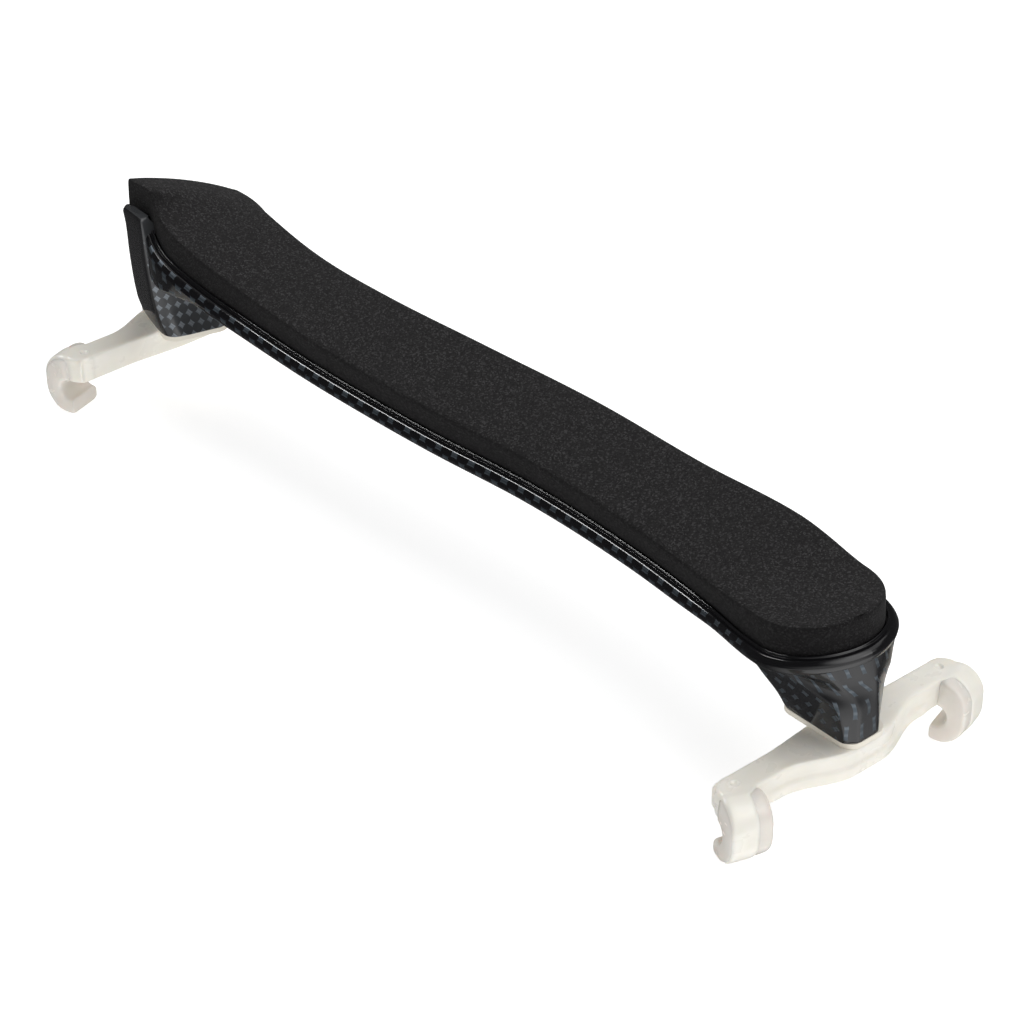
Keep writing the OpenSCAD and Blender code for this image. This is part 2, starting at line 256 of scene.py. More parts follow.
def circle(x, y, radius, n):
    """n points round a circle, as (x, y)."""
    angles = [2 * math.pi * i / n for i in range(n)]
    return [(x + radius * math.cos(a), y + radius * math.sin(a)) for a in angles]


def round_cutter(x, y, z0, z1, radius, n=48):
    points = [(px, py, z) for z in (z0, z1) for px, py in circle(x, y, radius, n)]
    return new_object("cutter", points, shell_faces(2, n))


def join(objs, name):
    """One mesh from several objects, which are removed."""
    bm = bmesh.new()
    for o in objs:
        bm.from_mesh(o.data)
    mesh = bpy.data.meshes.new(name)
    bm.to_mesh(mesh)
    bm.free()
    for o in objs:
        bpy.data.objects.remove(o)
    obj = bpy.data.objects.new(name, mesh)
    bpy.context.scene.collection.objects.link(obj)
    return obj


def fuse(obj, voxel, rounds):
    """Melts overlapping closed shells into one skin and softens its edges."""
    m = obj.modifiers.new("fuse", "REMESH")
    m.mode = "VOXEL"
    m.voxel_size = voxel * MM
    m.use_smooth_shade = True
    s = obj.modifiers.new("soften", "SMOOTH")
    s.iterations = rounds
    bake_modifiers(obj)


def mirror_x(obj, name):
    """A mirrored copy across the middle of the rest."""
    mesh = obj.data.copy()
    co = np.zeros(len(mesh.vertices) * 3, np.float32)
    mesh.vertices.foreach_get("co", co)
    co[0::3] *= -1
    mesh.vertices.foreach_set("co", co)
    mesh.flip_normals()
    twin = bpy.data.objects.new(name, mesh)
    bpy.context.scene.collection.objects.link(twin)
    return twin


def catmull(points, steps):
    """A smooth open curve through the points, or loops, with the given number of steps between neighbours."""
    p = [np.array(q, float) for q in points]
    out = []
    for i in range(len(p) - 1):
        a, b, c, d = p[max(i - 1, 0)], p[i], p[i + 1], p[min(i + 2, len(p) - 1)]
        for j in range(steps):
            t = j / steps
            slope, bend, twist = c - a, 2 * a - 5 * b + 4 * c - d, 3 * b - a - 3 * c + d
            out.append(0.5 * (2 * b + slope * t + bend * t * t + twist * t**3))
    out.append(p[-1])
    return out


def wall_faces(levels, m):
    """Quads between neighbouring loops of m points."""
    faces = []
    for k in range(levels - 1):
        for i in range(m):
            j = (i + 1) % m
            faces.append((k * m + i, k * m + j, (k + 1) * m + j, (k + 1) * m + i))
    return faces


def shell_faces(levels, m):
    """The faces of a closed shell through loops of m points: its walls and both ends."""
    return wall_faces(levels, m) + [tuple(reversed(range(m))), tuple(range((levels - 1) * m, levels * m))]


# ---------------------------------------------------------------- outline rings of the pad and the board
LAT_V = [2 * j / LATERAL - 1 for j in range(LATERAL + 1)]


def edge_dx(s, v, g):
    """Rounding of the cut end's corners: the far one a lot, the near one of the rim a little."""
    if v > 0:
        return -END_CUT[-1][1] * near_end(s, CORNER_L)
    return RIM_CORNER * max(g, 0) * near_end(s, CORNER_L)


def as_drawn(s, half, g, h, v):
    """The plain outline: lateral distance half and height h at every station s."""
    return half, h


def ring(g, h, shape=as_drawn):
    """Closed outline: near edge from left to right, far edge back again, then the cut end."""
    rows = stations(g)

    def at(s, half, v, dx):
        q, height = shape(s, half, g, h, v)
        return board_pt(s, q * v, v, height, dx)

    points = [at(s, half, -1, edge_dx(s, -1, g)) for s, half in rows]
    points += [at(s, half, 1, edge_dx(s, 1, g)) for s, half in reversed(rows)]
    s, half = rows[0]
    for v in reversed(LAT_V[1:-1]):
        height = shape(s, half, g, h, v)[1]
        points.append(board_pt(s, v * half, v, height, -bow(v)))
    return points


def cap_faces(base, flip=False):
    """Quads across a ring, from each station's near points to its far ones, and one face at the cut end."""
    n = STRAIGHT + ARC + 1
    last = base + 2 * n - 1
    faces = [(base + i, base + i + 1, last - 1 - i, last - i) for i in range(n - 1)]
    faces.append((base, *range(last, last + LATERAL)))
    return [tuple(reversed(f)) for f in faces] if flip else faces


# ---------------------------------------------------------------- foam pad
# Outline of the pad from the tray up: offset outwards, height over the top face
PAD_EDGE = (
    (0.0, TRAY_H + FILM_T), (0.0, -PAD_H + 0.4), (0.02, -4.4), (-0.02, -3.0), (-0.04, -1.6),
    (-0.1, -0.75), (-0.2, -0.36), (-0.36, -0.12), (-0.6, 0.0),
)
CROWN = 0.25
BOW_FADE = 14.0


def pad_top(s, half, v):
    """A point of the pad's slightly crowned top face."""
    dx = -bow(v) * near_end(s, BOW_FADE)
    return board_pt(s, v * half, v, CROWN * (1 - v * v), dx)


def build_pad():
    rings = [ring(g, h) for g, h in PAD_EDGE]
    m = len(rings[0])
    points = [p for r in rings for p in r]
    faces = wall_faces(len(rings), m)
    faces += cap_faces(0, flip=True)
    top = (len(rings) - 1) * m
    g = PAD_EDGE[-1][0]
    rows = stations(g)
    n = len(rows)
    index = np.zeros((n, LATERAL + 1), int)
    for i, (s, half) in enumerate(rows):
        index[i, 0] = top + i
        index[i, LATERAL] = top + 2 * n - 1 - i
        for j in range(1, LATERAL):
            if i == 0:
                index[i, j] = top + 2 * n + (LATERAL - 1 - j)
                continue
            index[i, j] = len(points)
            points.append(pad_top(s, half, LAT_V[j]))
    index = index.tolist()
    for near, far in zip(index, index[1:]):
        for j in range(LATERAL):
            faces.append((near[j], far[j], far[j + 1], near[j + 1]))
    obj = new_object("foam_pad", points, faces)
    face_outwards(obj)
    shade(obj, SOFT_EDGE)
    return obj


# ---------------------------------------------------------------- board: rolled rim and tray
# Section of the rim from its underside round to the tray: offset outwards, height over the pad's top face
RIM_KEYS = (
    (-2.2, RIM_LOW), (0.2, RIM_LOW), (RIM_W - 1.6, RIM_LOW + 0.2), (RIM_W - 0.5, RIM_LOW + 1.05),
    (RIM_W - 0.02, RIM_LOW + 2.6), (RIM_W - 0.1, RIM_LOW + 3.1), (RIM_W - 0.3, RIM_LOW + 3.6),
    (RIM_W - 0.6, RIM_LOW + 4.03), (RIM_W - 0.9, RIM_LOW + 4.34), (RIM_W - 1.06, RIM_LOW + 4.45),
    (RIM_W - 1.3, RIM_LOW + 4.53), (1.4, RIM_LOW + 4.56), (1.06, RIM_LOW + 4.58), (0.96, RIM_LOW + 4.64),
    (0.78, RIM_LOW + 5.02), (0.56, RIM_LOW + 5.09), (0.42, RIM_LOW + 5.08), (0.33, RIM_LOW + 4.7),
)
UNDERSIDE = (
    (-6.5, RIM_LOW + 1.4), (-4.2, RIM_LOW + 1.35), (-3.4, RIM_LOW + 1.0), (-3.1, RIM_LOW + 0.3),
    (-2.7, RIM_LOW + 0.04),
)
TRAY_EDGE = (0.32, TRAY_H)
KEY_STEPS = 4
# The print's rows count from this height on the rim's outside
SHOULDER_H = RIM_LOW + 4.4
# Offsets over RIM_FOOT belong to the rim, and are slimmed with it
RIM_FOOT = 0.5
# Beside the left leg the rim's near wall leans in over LEAN_H: share of the offset past LEAN_FROM, first
# station and the length it grows over
ROLL_H = RIM_LOW + 2.8
LEAN_H = ROLL_H - 0.2
LEAN = 0.4
LEAN_FROM = 0.95
LEAN_START = -90.0
LEAN_OVER = 7.0
# Under ROLL_H it hangs lower there, by the drop at each station, from the offset WALL_FOOT outwards
WALL_DROP = (
    (-102.0, 0.0), (-99.0, 7.0), (-97.0, 10.0), (-91.8, 6.0), (-88.0, 3.2), (-84.8, 1.5), (-80.0, 0.0),
)
WALL_FOOT = -2.0
DROP_OVER = 1.6
# It is dented under DENT_TOP, and tucked in where the leg covers it
DENT = 0.9
DENT_TOP = -6.9
DENT_START = -89.0
DENT_OVER = 6.0
TUCK = 0.9
TUCK_START = -97.0
TUCK_OVER = 3.0
TUCK_RISE = 0.8


def table(rows, x):
    """Straight-line look-up in rows of (x, value)."""
    if x <= rows[0][0]:
        return rows[0][1]
    for (x0, y0), (x1, y1) in zip(rows, rows[1:]):
        if x <= x1:
            return y0 + (y1 - y0) * (x - x0) / (x1 - x0)
    return rows[-1][1]


def rim_shape(s, half, g, h, v):
    """Slims the rim round the right end; drops, dents and leans its near wall beside the left leg."""
    q, height = half, h
    if g > RIM_FOOT:
        q = half - g + g * slim(s)
    if g > RIM_FOOT or h < TRAY_H:
        height = -PAD_H + (h + PAD_H) * slim(s)
    if v >= 0:
        return q, height
    over_roll = h - LEAN_H
    if g > LEAN_FROM and over_roll > 0:
        q -= LEAN * (g - LEAN_FROM) * ease(over_roll) * ease((LEAN_START - s) / LEAN_OVER)
    if s < WALL_DROP[-1][0] and g > WALL_FOOT:
        height -= table(WALL_DROP, s) * ease((ROLL_H - h) / DROP_OVER)
        q -= TUCK * ease((TUCK_START - s) / TUCK_OVER) * ease(g / TUCK_RISE)
        if g > 0:
            q -= DENT * ease((DENT_START - s) / DENT_OVER) * ease((DENT_TOP - h) / DROP_OVER)
    return q, height


def running_length(points):
    """Distance along a line of points, from 0 at the first."""
    return [0.0, *np.cumsum(np.linalg.norm(np.diff(points, axis=0), axis=1)).tolist()]


def build_board():
    levels = [*UNDERSIDE, *catmull(RIM_KEYS, KEY_STEPS), TRAY_EDGE]
    levels = [(float(g), float(h)) for g, h in levels]
    rings = [ring(g, h, rim_shape) for g, h in levels]
    m = len(rings[0])
    points = [p for r in rings for p in r]
    mid = rings[len(rings) // 2]
    along = running_length([*mid, mid[0]])
    across = running_length(levels)
    outer = [i for i, (g, _) in enumerate(levels) if g > 1]
    shoulder = across[min(outer, key=lambda i: abs(levels[i][1] - SHOULDER_H))]
    up = [shoulder - a for a in across]
    faces = wall_faces(len(rings), m)
    uv = []
    for low, high in zip(up, up[1:]):
        for a, b in zip(along, along[1:]):
            uv.append([(a, low), (b, low), (b, high), (a, high)])
    caps = cap_faces(0, flip=True) + cap_faces((len(rings) - 1) * m)
    faces += caps
    uv += [[points[i][:2] for i in f] for f in caps]
    obj = new_object("board_shell", points, faces, uv)
    face_outwards(obj)
    shade(obj, HARD_EDGE)
    return obj


# ---------------------------------------------------------------- legs, lofted from level to level
SEGMENT = 14


def straight_run(a, b):
    """SEGMENT points from a towards b, without b itself."""
    return [a + (b - a) * j / SEGMENT for j in range(SEGMENT)]


def polygon_loop(corners, z, rounds):
    """A closed loop through the corners at height z, its corners rounded by a few passes of averaging."""
    corners = [np.array(c, float) for c in corners]
    pts = []
    for a, b in zip(corners, corners[1:] + corners[:1]):
        pts += straight_run(a, b)
    pts = np.array(pts)
    for _ in range(rounds):
        pts = 0.5 * pts + 0.25 * (np.roll(pts, 1, 0) + np.roll(pts, -1, 0))
    return np.column_stack([pts, np.full(len(pts), z)])


# How much the print is squeezed on upright sides and on the others, and a shift that takes it off a side
UPRIGHT_SQUEEZE = 0.3
DIAGONAL_SQUEEZE = 0.74
OFF_PRINT = 5000.0


def loft(name, loops, upright=(), plain=()):
    """A closed shell through loops of equally many points. The print stands upright and tall on the sides
    listed in upright, is left off those listed in plain and is turned 45 degrees on the others."""
    m = len(loops[0])
    points = [p for l in loops for p in l]
    up = [0.0]
    for a, b in zip(loops, loops[1:]):
        up.append(up[-1] + float(np.linalg.norm(b - a, axis=1).mean()))
    runs = [running_length([*l, l[0]]) for l in loops]
    c45 = math.sqrt(0.5) * DIAGONAL_SQUEEZE

    def print_uv(k, i, side):
        u, v = runs[k][i] - runs[k][2 * SEGMENT], up[k]
        if side in plain:
            return u, v - OFF_PRINT
        if side in upright:
            return u, v * UPRIGHT_SQUEEZE
        return c45 * (u - v), c45 * (u + v)

    uv = []
    for k in range(len(loops) - 1):
        for i in range(m):
            corners = ((k, i), (k, i + 1), (k + 1, i + 1), (k + 1, i))
            uv.append([print_uv(level, point, i // SEGMENT) for level, point in corners])
    uv.append([p[:2] for p in reversed(loops[0])])
    uv.append([p[:2] for p in loops[-1]])
    obj = new_object(name, points, shell_faces(len(loops), m), uv)
    face_outwards(obj)
    return obj


LEFT_LEVELS = (
    # height, corner averaging, corners: outer near, ridge, inner far, far, outer far
    (LEG_Z, 12, ((-111.2, -6.3), (-92.6, -11.6), (-88.6, 3.2), (-97.7, 6.0), (-106.8, 8.8))),
    (18.3, 7, ((-111.0, -7.0), (-94.7, -11.6), (-90.1, 3.3), (-97.3, 6.4), (-106.6, 8.9))),
    (22.0, 4, ((-110.0, -7.9), (-96.4, -11.5), (-91.8, 3.6), (-97.0, 7.0), (-105.8, 9.1))),
    (26.5, 3, ((-109.1, -8.8), (-97.2, -11.7), (-93.6, 3.8), (-97.0, 7.5), (-104.5, 9.3))),
    (31.0, 3, ((-108.4, -9.6), (-97.6, -12.0), (-94.5, 4.0), (-97.0, 7.0), (-102.8, 8.6))),
    (35.0, 3, ((-107.6, -10.2), (-97.8, -12.2), (-96.0, -1.0), (-99.0, 0.5), (-104.5, 0.5))),
    (39.0, 3, ((-106.8, -10.9), (-97.9, -12.3), (-97.5, -6.0), (-100.0, -5.0), (-104.5, -5.0))),
    (42.4, 3, ((-106.4, -11.4), (-98.2, -12.3), (-98.2, -9.6), (-101.0, -9.4), (-105.3, -9.2))),
    (43.3, 5, ((-105.8, -11.2), (-98.7, -12.0), (-98.7, -9.8), (-101.0, -9.6), (-105.0, -9.4))),
)
RIGHT_LEVELS = (
    # height, corner averaging, corners: inner near, crease, outer near, outer far and three far ones
    (LEG_Z, 5, (
        (91.2, -4.9), (107.6, -5.3), (109.5, -2.9), (109.4, 2.6), (107.0, 5.1), (100.0, 5.1), (91.2, 5.1),
    )),
    (19.5, 3, (
        (91.4, -7.2), (107.9, -6.0), (109.7, -3.3), (109.5, 2.2), (107.0, 5.6), (100.5, 6.8), (89.6, 6.6),
    )),
    (23.5, 2, (
        (89.6, -9.2), (107.2, -6.9), (109.8, -3.6), (109.6, 1.6), (107.0, 6.0), (101.0, 8.2), (88.0, 8.0),
    )),
    (26.0, 2, (
        (88.2, -10.2), (102.2, -8.6), (108.6, -4.4), (109.6, 1.2), (107.2, 6.4), (101.2, 8.6), (87.8, 8.2),
    )),
    (28.2, 2, (
        (86.6, -11.0), (96.2, -10.6), (107.4, -6.0), (109.6, 0.6), (107.6, 6.8), (101.6, 9.2), (87.6, 9.0),
    )),
)
# Loops from one level to the next
LEVEL_STEPS = 5
# The right leg's top loop on the rim's widest line. A place is in millimetres up to RIGHT_CENTRE where it is
# negative, and in degrees round the right end where it isn't
SKIRT_TOP = (
    # side, from, to, inset from that line at each end
    (-1, -9.5, -6.0, 0.7, 0.0), (-1, -6.0, 58, 0.0, 0.0), (-1, 58, 92, 0.0, 0.0),
    (1, 88, 58, 0.0, 0.0), (1, 58, 24, 0.0, 0.3), (1, 24, -9, 0.3, 0.7),
)
SKIRT_PROUD = 0.04
SKIRT_H = -8.3
SKIRT_STEPS = (0.25, 0.5, 0.75, 1.0)


def skirt_top():
    """The top loop of the right leg, along the rim's widest line."""

    def on_rim(side, where, inset):
        if where <= 0:
            s = RIGHT_CENTRE + where
            q = spine(s, HALF_WIDTH) + RIM_W * slim(s) + SKIRT_PROUD - inset
        else:
            reach = END_R + RIM_W * slim(RIGHT_CENTRE) + SKIRT_PROUD - inset
            s = RIGHT_CENTRE + reach * math.sin(math.radians(where))
            q = reach * math.cos(math.radians(where))
        return board_pt(s, side * q, side, -PAD_H + (SKIRT_H + PAD_H) * slim(s))

    pts = []
    for side, start, stop, inset, last_inset in SKIRT_TOP:
        for j in range(SEGMENT):
            f = j / SEGMENT
            pts.append(on_rim(side, start + (stop - start) * f, inset + (last_inset - inset) * f))
    far = on_rim(1, SKIRT_TOP[-1][2], SKIRT_TOP[-1][4])
    near = on_rim(-1, SKIRT_TOP[0][1], SKIRT_TOP[0][3])
    return np.array(pts + straight_run(far, near))


def pocket(side):
    """Cutter for the pocket that the slide nut runs in."""
    half = NUT_L / 2 + POCKET_CLEAR
    xs = sorted((side * (PIVOT_X - TRAVEL - half), side * (PIVOT_X + half)))
    w = NUT_W / 2 + POCKET_CLEAR
    return box_cutter((xs[0], -w, LEG_Z - THROUGH), (xs[1], w, POCKET_TOP))


def build_left_leg():
    keys = [polygon_loop(c, z, rounds) for z, rounds, c in LEFT_LEVELS]
    obj = loft("left_leg", catmull(keys, LEVEL_STEPS), plain=(0,))
    cut(obj, [pocket(-1)])
    shade(obj, HARD_EDGE)
    return obj


def build_right_leg():
    keys = [polygon_loop(c, z, rounds) for z, rounds, c in RIGHT_LEVELS]
    waist, top = keys[-1], skirt_top()
    skirt = [waist * (1 - t) + top * t for t in SKIRT_STEPS]
    obj = loft("right_leg", catmull(keys, LEVEL_STEPS) + skirt, upright=(1, 2, 3, 4, 5, 6))
    cut(obj, [pocket(1)])
    shade(obj, HARD_EDGE)
    return obj


# ---------------------------------------------------------------- yokes: arms, hook cores and soft grips
# Side view of a hook, from the yoke's inner edge and the ground: reach, back, belly, lip and throat
HOOK_REACH = 11.0
BACK_R = 5.6
BACK_Z = 8.7
BELLY_R = 5.9
LIP_TIP = 3.6
LIP_T = 3.7
THROAT_R = 6.7
THROAT_H = YOKE_Z - LIP_T
# Core: width, how far it stands out of the grip, thickness, the angle where it stops and its shift
CORE_W = 5.7
CORE_PROUD = 0.1
CORE_T = 2.6
CORE_STOP = -62.0
CORE_SHIFT = 1.3
GRIP_W = 8.9
# Where the hook's curves start, from the yoke's inner edge
HOOK_START = 1.0
# Rows of a hook's sweep: along the arm, and round the back or the belly
ARM_ROWS = 4
ROUND_ROWS = 14
# The lip's end: share of the way to the tip, rounding of its underside, rounding of its top
LIP_ROWS = (
    (0.0, 0.0, 0.0), (0.35, 0.0, 0.0), (0.7, 0.05, 0.04),
    (0.88, 0.2, 0.14), (0.97, 0.45, 0.36), (1.0, 0.8, 0.7),
)


def hook_rows():
    """Pairs of outer and inner points along a hook, from the arm round the back and belly to the lip."""
    back_x, belly_x = HOOK_REACH - BACK_R, HOOK_REACH - BELLY_R
    throat_x, throat_z, throat_r = THROAT_R - THROAT_H / 2, LIP_T + THROAT_H / 2, THROAT_H / 2
    rows = []
    for i in range(ARM_ROWS):
        f = i / ARM_ROWS
        outer_x = HOOK_START + (back_x - HOOK_START) * f
        inner_x = HOOK_START + (throat_x - HOOK_START) * f
        rows.append(((outer_x, YOKE_TOP), (inner_x, YOKE_Z)))
    for i in range(2 * ROUND_ROWS):
        a = math.radians(90 - 90 * i / ROUND_ROWS)
        cx, cz, r = (back_x, BACK_Z, BACK_R) if i < ROUND_ROWS else (belly_x, BELLY_R, BELLY_R)
        outer = (cx + r * math.cos(a), cz + r * math.sin(a))
        rows.append((outer, (throat_x + throat_r * math.cos(a), throat_z + throat_r * math.sin(a))))
    for f, low, high in LIP_ROWS:
        outer = (belly_x + (LIP_TIP - belly_x) * f, low)
        rows.append((outer, (throat_x + (LIP_TIP - throat_x) * f, LIP_T - high)))
    return rows


def hook_frame(side):
    """A hook's origin on the yoke's inner edge, its outward direction and the one across it."""
    a = math.radians(side * HOOK_SPLAY)
    out = np.array([math.cos(a), math.sin(a), 0.0])
    across = np.array([-math.sin(a), math.cos(a), 0.0])
    return np.array([YOKE_IN, side * HOOK_Y, 0.0]), out, across


def rounded(angle, squareness):
    """Cosine and sine of an angle, pushed towards a square's outline as squareness nears 0."""
    c, s = math.cos(angle), math.sin(angle)
    return math.copysign(abs(c) ** squareness, c), math.copysign(abs(s) ** squareness, s)


SECTION_POINTS = 28
CORE_SQUARENESS = 0.4
GRIP_SQUARENESS = 0.3


def sweep_hook(name, side, rows, widths, squareness, shifts=None):
    """A closed band along a hook, with a rounded cross-section; shifts move it towards the yoke's end."""
    origin, out, across = hook_frame(side)
    shifts = shifts or [0.0] * len(rows)
    points = []
    for (outer, inner), width, shift in zip(rows, widths, shifts):
        centre, half = (outer + inner) / 2, (outer - inner) / 2
        for k in range(SECTION_POINTS):
            u, w = rounded(2 * math.pi * k / SECTION_POINTS, squareness)
            x, z = centre + half * u
            points.append(origin + out * x + across * (w * width / 2 + side * shift) + np.array([0, 0, z]))
    obj = new_object(name, points, shell_faces(len(rows), SECTION_POINTS))
    face_outwards(obj)
    return obj


# At the arm the core is wider by this much, and the grip narrower
ROOT_STEP = 1.6
# Rows over which the core settles at its root, and thins out at its end
CORE_BLEND = 7
CORE_TAPER = 3


def build_core(side):
    """The stiff core of a hook: a band that curls down under the arm's end and stops above the ground."""
    rows, widths, shifts = [], [], []
    keep = ARM_ROWS + round(ROUND_ROWS * (1 - CORE_STOP / 90))
    for k, (outer, inner) in enumerate(hook_rows()[:keep]):
        outer, inner = np.array(outer), np.array(inner)
        along = (outer - inner) / np.linalg.norm(outer - inner)
        if k < ARM_ROWS:
            thick = YOKE_TOP - YOKE_Z
        else:
            thick = CORE_T * (1 if k < keep - CORE_TAPER else (keep - k) / (CORE_TAPER + 1))
        proud = CORE_PROUD * ease((k - ARM_ROWS + 1) / 3)
        rows.append((outer + along * proud, outer - along * thick))
        widths.append(CORE_W + ROOT_STEP * (1 - ease(k / CORE_BLEND)))
        shifts.append(CORE_SHIFT * ease(k / CORE_BLEND))
    return sweep_hook("core", side, rows, widths, CORE_SQUARENESS, shifts)


# How far the grip's outside lies under the hook's, how much more at its first row, and how far its inside
# stands back
GRIP_INSET = 0.2
GRIP_ROOT_INSET = 0.5
GRIP_FIT = 0.02
# Rows after which the inset fades out, and the lip narrows
INSET_FADE = 20
LIP_NARROW_FROM = 24
LIP_NARROWING = 0.5


def build_grip(side):
    """The soft grip of a hook, under and round its core."""
    name = "right_near_soft_grip" if side < 0 else "right_far_soft_grip"
    rows, widths = [], []
    for k, (outer, inner) in enumerate(hook_rows()[ARM_ROWS - 1:]):
        outer, inner = np.array(outer), np.array(inner)
        along = (outer - inner) / np.linalg.norm(outer - inner)
        inset = GRIP_INSET * (1 - ease((k - INSET_FADE) / 7))
        if k == 0:
            inset += GRIP_ROOT_INSET
        rows.append((outer - along * inset, inner + along * GRIP_FIT))
        root = ROOT_STEP * (1 - ease((k + 1) / 4))
        widths.append(GRIP_W - root - LIP_NARROWING * ease((k - LIP_NARROW_FROM) / 8))
    obj = sweep_hook(name, side, rows, widths, GRIP_SQUARENESS)
    shade(obj, SOFT_EDGE)
    return obj


ARM_STEPS = 72
FLANGE_OUT = 0.45
FLANGE_Z = YOKE_Z + 2.5
# The bulges at the arms' middle and the flange: how far they run unchanged, and over what length they fade
BULGE_FADE = (3.5, 14.5)
INNER_FADE = (2.0, 16.0)
FLANGE_FADE = (19.0, 4.0)


def faded(y, fade):
    """1 at the middle of the arms, falling to 0 towards their ends."""
    start, over = fade
    return 1 - ease((abs(y) - start) / over)


def arm_section(y):
    """Cross-section of the arms at y, from the inner bottom corner round the top to the outer flange."""
    outer = YOKE_IN + ARM_W + BULGE * faded(y, BULGE_FADE) - FLANGE_OUT
    inner = YOKE_IN - INNER_BULGE * faded(y, INNER_FADE)
    step = FLANGE_OUT * faded(y, FLANGE_FADE)
    return [
        (inner + 0.3, YOKE_Z), (inner, YOKE_Z + 0.3),
        (inner, YOKE_TOP - 0.5), (inner + 0.15, YOKE_TOP - 0.15), (inner + 0.5, YOKE_TOP),
        (outer - 0.5, YOKE_TOP), (outer - 0.15, YOKE_TOP - 0.15), (outer, YOKE_TOP - 0.5),
        (outer, FLANGE_Z + 0.35), (outer + 0.6 * step, FLANGE_Z + 0.1), (outer + step, FLANGE_Z - 0.3),
        (outer + step, YOKE_Z + 0.3), (outer + step - 0.3, YOKE_Z),
    ]


def build_arms():
    points = []
    for k in range(ARM_STEPS + 1):
        y = HOOK_Y * (2 * k / ARM_STEPS - 1)
        points += [(x, y, z) for x, z in arm_section(y)]
    obj = new_object("arms", points, shell_faces(ARM_STEPS + 1, len(arm_section(0))))
    face_outwards(obj)
    return obj


ARM_END_R = 3.9
ARM_END_POINTS = 40
ARM_END_STRETCH = 1.1
# Inset and height of the shoulder's rounded edge
ARM_END_EDGE = (
    (0.45, YOKE_Z), (0.0, YOKE_Z + 0.4), (0.0, YOKE_TOP - 0.6), (0.25, YOKE_TOP - 0.15), (0.6, YOKE_TOP),
)


def arm_end(side):
    """The round shoulder where an arm turns into its hook."""
    origin, out, across = hook_frame(side)
    points = []
    for inset, z in ARM_END_EDGE:
        for i in range(ARM_END_POINTS):
            a = 2 * math.pi * i / ARM_END_POINTS
            reach = ARM_END_R - inset
            if math.cos(a) > 0:
                reach = (ARM_W - ARM_END_R) * ARM_END_STRETCH
            p = origin + out * (ARM_END_R + reach * math.cos(a)) + across * (ARM_END_R - inset) * math.sin(a)
            points.append((p[0], p[1], z))
    obj = new_object("shoulder", points, shell_faces(len(ARM_END_EDGE), ARM_END_POINTS))
    face_outwards(obj)
    return obj


# Bores for the bush, and for the screw's head from below
BUSH_BORE_R = 2.55
HEAD_BORE_R = 3.8
HEAD_BORE_TOP = 12.0
# Hollow under each arm: half length, half width and height, and its distance from the middle
HOLLOW = (5.0, 1.3, 3.0)
HOLLOW_Y = 15.5
VOXEL = 0.24
SOFTEN_ROUNDS = 6
# Dimple: distance from the hook's origin, radius, depth and raised lip; only the skin under the top moves
DIMPLE_X = 2.9
DIMPLE_R = 0.85
DIMPLE_DEPTH = 0.4
DIMPLE_LIP = 0.1
DIMPLE_LIP_R = 1.0
DIMPLE_EDGE = 0.3
TOP_SKIN = 1.0


def press_dimples(obj):
    """A small round dimple with a raised lip on top of each arm's end."""
    centres = [origin + out * DIMPLE_X for origin, out, _ in (hook_frame(-1), hook_frame(1))]
    for v in obj.data.vertices:
        if v.co.z <= (YOKE_TOP - TOP_SKIN) * MM:
            continue
        for c in centres:
            d = math.hypot(v.co.x / MM - c[0], v.co.y / MM - c[1])
            v.co.z -= DIMPLE_DEPTH * MM * ease((DIMPLE_R - d) / DIMPLE_EDGE)
            v.co.z += DIMPLE_LIP * MM * ease(1 - abs(d - DIMPLE_LIP_R) / DIMPLE_EDGE)


def build_yoke():
    """The right-hand yoke as one moulding."""
    arms = build_arms()
    below = YOKE_Z - THROUGH
    cutters = [
        round_cutter(PIVOT_X, 0, below, HEAD_BORE_TOP, HEAD_BORE_R),
        round_cutter(PIVOT_X, 0, below, YOKE_TOP + THROUGH, BUSH_BORE_R),
    ]
    x = YOKE_IN + ARM_W / 2
    long, wide, high = HOLLOW
    for y in (-HOLLOW_Y, HOLLOW_Y):
        cutters.append(box_cutter((x - wide, y - long, below), (x + wide, y + long, YOKE_Z + high)))
    cut(arms, cutters)
    parts = [arms]
    for side in (-1, 1):
        parts.append(arm_end(side))
        parts.append(build_core(side))
    obj = join(parts, "right_yoke_moulding")
    fuse(obj, VOXEL, SOFTEN_ROUNDS)
    press_dimples(obj)
    shade(obj, MOULDED_EDGE)
    return obj


